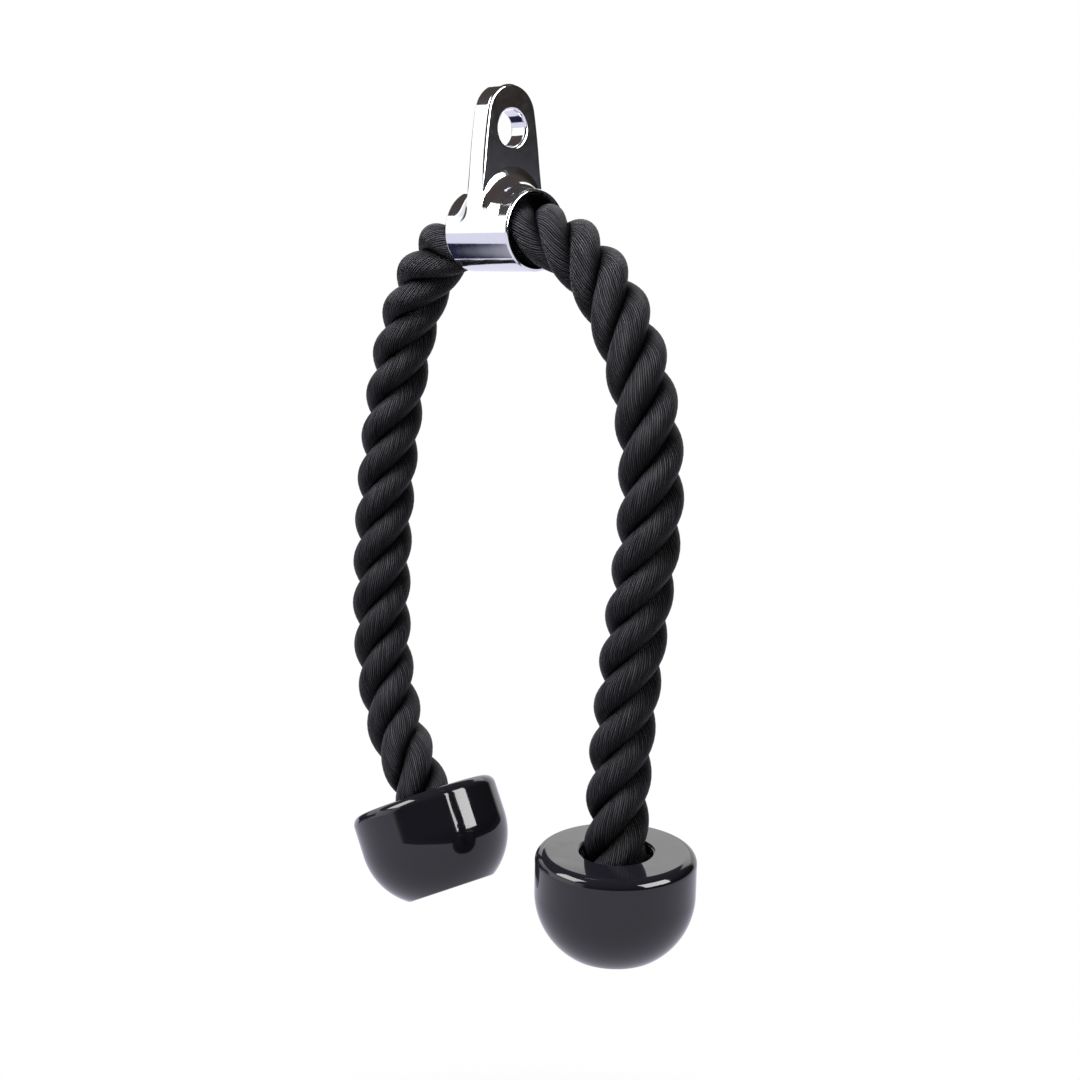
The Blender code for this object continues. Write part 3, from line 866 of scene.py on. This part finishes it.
# Between these distances from the middle, the floor's shadow gives way to plain white
SHADOW_FADE = (0.15, 0.45)
LOOK_RIGHT = Vector((math.cos(CAMERA_TURN), math.sin(CAMERA_TURN), 0.0))
LOOK_AWAY = Vector((-math.sin(CAMERA_TURN), math.cos(CAMERA_TURN), 0.0))
UP = Vector((0.0, 0.0, 1.0))
BEHIND_LEFT = (LOOK_AWAY - LOOK_RIGHT).normalized()

# The backdrop's top edge starts to rise here, as a share of the way to the right, and rises this steeply
BACKDROP_RISE_FROM = -0.15
BACKDROP_RISE = 0.35
# The light that matt surfaces get from all round
FILL = (0.12, 0.12, 0.12, 1.0)

# The dark flag: its middle and the way it runs, each across the picture, into it and up, and its size
FLAG_MIDDLE = (-0.33, 0.146, -0.285)
FLAG_RUN = (0.629, 0.593, -0.503)
FLAG_WIDTH = 0.12
FLAG_LENGTH = 0.25
# Between these distances from its middle line, its navy side gives way to its grey side
FLAG_FADE = (0.005, 0.045)

SOFTBOX_AIM = Vector((0.0, 0.0, -0.17))
SOFTBOX_DISTANCE = 1.3


def build_floor():
    """A white floor below the hanging part that keeps its shadow, and is plain white away from the part."""
    shape = bmesh.new()
    bmesh.ops.create_grid(shape, x_segments=1, y_segments=1, size=FLOOR_SIZE / 2)
    bmesh.ops.translate(shape, verts=shape.verts, vec=(0.0, 0.0, -FLOOR_DEPTH))
    made = new_material("white_floor")
    tree = made.node_tree
    place = add_node(tree, "ShaderNodeTexCoord")
    level = {0: place.outputs["Object"], 1: (1.0, 1.0, 0.0)}
    flat = add_node(tree, "ShaderNodeVectorMath", level, operation="MULTIPLY")
    away = add_node(tree, "ShaderNodeVectorMath", {0: flat}, operation="LENGTH")
    clear = add_node(
        tree,
        "ShaderNodeMapRange",
        {"Value": away.outputs["Value"], "From Min": SHADOW_FADE[0], "From Max": SHADOW_FADE[1]},
        interpolation_type="SMOOTHSTEP",
    )
    rays = add_node(tree, "ShaderNodeLightPath")
    camera, mirror, matt = (rays.outputs[f"Is {kind} Ray"] for kind in ("Camera", "Glossy", "Diffuse"))
    # Matt surfaces get little light from below, as with black flags under the part
    light_below = {0: matt, 6: hex_colour("#f4f4f4"), 7: hex_colour("#545456")}
    tone = add_node(tree, "ShaderNodeMix", light_below, data_type="RGBA")
    paint = add_node(tree, "ShaderNodeBsdfDiffuse", {"Color": tone.outputs[2]})
    plain = add_node(tree, "ShaderNodeEmission", {"Color": hex_colour("#ffffff"), "Strength": 1.0})
    # Polished parts see cool white paper
    paper = add_node(tree, "ShaderNodeEmission", {"Color": hex_colour("#f1eeff"), "Strength": 1.0})
    seen = add_node(tree, "ShaderNodeMath", {0: camera, 1: clear}, operation="MULTIPLY")
    for_camera = add_node(tree, "ShaderNodeMixShader", {0: seen, 1: paint, 2: plain})
    look = add_node(tree, "ShaderNodeMixShader", {0: mirror, 1: for_camera, 2: paper})
    add_node(tree, "ShaderNodeOutputMaterial", {"Surface": look})
    finish_piece("floor", shape, made)


def in_studio(across, into, up):
    """A point or a direction, given across the picture, into it and up."""
    return across * LOOK_RIGHT + into * LOOK_AWAY + up * UP


def build_flag():
    """A dark flag low at the left that only polished parts see: it draws the dark line along the barrel."""
    middle = in_studio(*FLAG_MIDDLE)
    run = in_studio(*FLAG_RUN).normalized()
    facing = Vector((0.0, 0.0, -EYE_TO_BARREL)) - middle
    facing = (facing - facing.dot(run) * run).normalized()
    side = run.cross(facing)
    shape = bmesh.new()
    bmesh.ops.create_grid(shape, x_segments=1, y_segments=1, size=0.5)
    bmesh.ops.scale(shape, vec=(FLAG_WIDTH, FLAG_LENGTH, 1.0), verts=shape.verts)
    made = new_material("navy_flag_cloth")
    tree = made.node_tree
    place = add_node(tree, "ShaderNodeTexCoord")
    over = {0: place.outputs["Object"], 1: side}
    reach = add_node(tree, "ShaderNodeVectorMath", over, operation="DOT_PRODUCT")
    start, end = (middle.dot(side) + distance for distance in FLAG_FADE)
    fade = add_node(
        tree,
        "ShaderNodeMapRange",
        {"Value": reach.outputs["Value"], "From Min": start, "From Max": end},
        interpolation_type="SMOOTHSTEP",
    )
    colours = {0: fade, 6: hex_colour("#20243a"), 7: hex_colour("#a09fac")}
    tone = add_node(tree, "ShaderNodeMix", colours, data_type="RGBA")
    cloth = add_node(tree, "ShaderNodeEmission", {"Color": tone.outputs[2], "Strength": 1.0})
    add_node(tree, "ShaderNodeOutputMaterial", {"Surface": cloth})
    turn = Matrix((side, run, facing)).transposed().to_4x4()
    flag = finish_piece("flag", shape, made, Matrix.Translation(middle) @ turn)
    flag.visible_camera = False
    flag.visible_diffuse = False
    flag.visible_shadow = False


def build_surroundings():
    """The camera sees plain white. Polished parts see a white backdrop behind at the left, in a dark room."""
    world = bpy.data.worlds.new("studio")
    bpy.context.scene.world = world
    world.use_nodes = True
    tree = world.node_tree
    tree.nodes.clear()
    way = add_node(tree, "ShaderNodeTexCoord")
    shares = []
    for axis in (LOOK_RIGHT, UP, BEHIND_LEFT):
        toward = {0: way.outputs["Object"], 1: axis}
        share = add_node(tree, "ShaderNodeVectorMath", toward, operation="DOT_PRODUCT")
        shares.append(share.outputs["Value"])
    right, up, behind = shares
    beyond = add_node(tree, "ShaderNodeMath", {0: right, 1: BACKDROP_RISE_FROM}, operation="SUBTRACT")
    beyond = add_node(tree, "ShaderNodeMath", {0: beyond, 1: 0.0}, operation="MAXIMUM")
    edge = add_node(tree, "ShaderNodeMath", {0: beyond, 1: BACKDROP_RISE}, operation="MULTIPLY")
    over = add_node(tree, "ShaderNodeMath", {0: up, 1: edge}, operation="SUBTRACT")
    # Each change in the studio: what it follows, from and to which share of it, and its two levels
    changes = {
        "backdrop_side": (behind, -0.05, 0.12, 0.0, 1.0),
        "backdrop_top": (over, 0.43, 0.47, 1.0, 0.0),
        "lit_panel": (right, -0.80, -0.92, 1.0, 1.4),
        "lit_top": (up, 0.36, 0.44, 1.0, 1.8),
        "horizon": (up, 0.035, 0.06, 0.0, 1.0),
        "ceiling": (up, 0.30, 0.60, 0.0, 1.0),
        "stand_side": (behind, 0.84, 0.90, 0.0, 1.0),
        "stand_top": (up, 0.16, 0.24, 1.0, 0.0),
    }
    fades = {}
    for name, (value, start, end, low, high) in changes.items():
        span = {"Value": value, "From Min": start, "From Max": end, "To Min": low, "To Max": high}
        fades[name] = add_node(tree, "ShaderNodeMapRange", span, interpolation_type="SMOOTHSTEP")
    for part in ("backdrop", "stand"):
        both = {0: fades[f"{part}_side"], 1: fades[f"{part}_top"]}
        fades[part] = add_node(tree, "ShaderNodeMath", both, operation="MULTIPLY")
    glow = add_node(tree, "ShaderNodeMath", {0: fades["lit_panel"], 1: fades["lit_top"]}, operation="MAXIMUM")
    white = add_node(tree, "ShaderNodeCombineColor", {0: glow, 1: glow, 2: glow})
    rays = add_node(tree, "ShaderNodeLightPath")
    # From the far wall forward. The dark stand draws a line along the polished outlines
    layers = (
        (fades["horizon"], hex_colour("#29241f")),
        (fades["ceiling"], hex_colour("#4c4643")),
        (fades["backdrop"], white),
        (fades["stand"], hex_colour("#3a3a40")),
    )
    studio = hex_colour("#44454c")
    for share, colour in layers:
        mixed = add_node(tree, "ShaderNodeMix", {0: share, 6: studio, 7: colour}, data_type="RGBA")
        studio = mixed.outputs[2]
    views = ((rays.outputs["Is Glossy Ray"], studio), (rays.outputs["Is Camera Ray"], hex_colour("#ffffff")))
    seen = FILL
    for ray, colour in views:
        mixed = add_node(tree, "ShaderNodeMix", {0: ray, 6: seen, 7: colour}, data_type="RGBA")
        seen = mixed.outputs[2]
    background = add_node(tree, "ShaderNodeBackground", {"Color": seen, "Strength": 1.0})
    add_node(tree, "ShaderNodeOutputWorld", {"Surface": background})


def build_softbox(name, turn, rise, width, tall, shine, light):
    """A softbox that faces the part, as one lamp for the polished parts and one for the matt ones.

    Turn counts from the camera to its right, and rise from level, in degrees. Shine is how bright the
    box's face is in a polish, and light how bright it is for matt surfaces. A level of 0 makes no lamp.
    """
    a, e = math.radians(turn), math.radians(rise)
    out = math.cos(e) * (LOOK_RIGHT * math.sin(a) - LOOK_AWAY * math.cos(a))
    for use, glow in (("shine", shine), ("light", light)):
        if not glow:
            continue
        data = bpy.data.lights.new(f"{name}_{use}", "AREA")
        data.shape = "RECTANGLE"
        data.size = width
        data.size_y = tall
        data.energy = glow * math.pi * width * tall
        lamp = bpy.data.objects.new(data.name, data)
        bpy.context.scene.collection.objects.link(lamp)
        lamp.location = SOFTBOX_AIM + SOFTBOX_DISTANCE * (out + Vector((0.0, 0.0, math.sin(e))))
        lamp.rotation_euler = (SOFTBOX_AIM - lamp.location).to_track_quat("-Z", "Y").to_euler()
        lamp.visible_camera = False
        lamp.visible_glossy = use == "shine"
        lamp.visible_diffuse = use == "light"


def build_stage():
    """Floor, flag, surroundings and lamps."""
    build_floor()
    build_flag()
    build_surroundings()
    build_softbox("softbox_right", turn=58.0, rise=25.5, width=0.88, tall=0.76, shine=12.0, light=0.8)
    build_softbox("softbox_left", turn=-77.0, rise=42.0, width=0.76, tall=0.70, shine=10.0, light=1.5)
    build_softbox("softbox_top", turn=-50.0, rise=62.0, width=0.80, tall=0.80, shine=0.0, light=12.0)
    bpy.context.scene.view_settings.view_transform = "Standard"


build_stage()
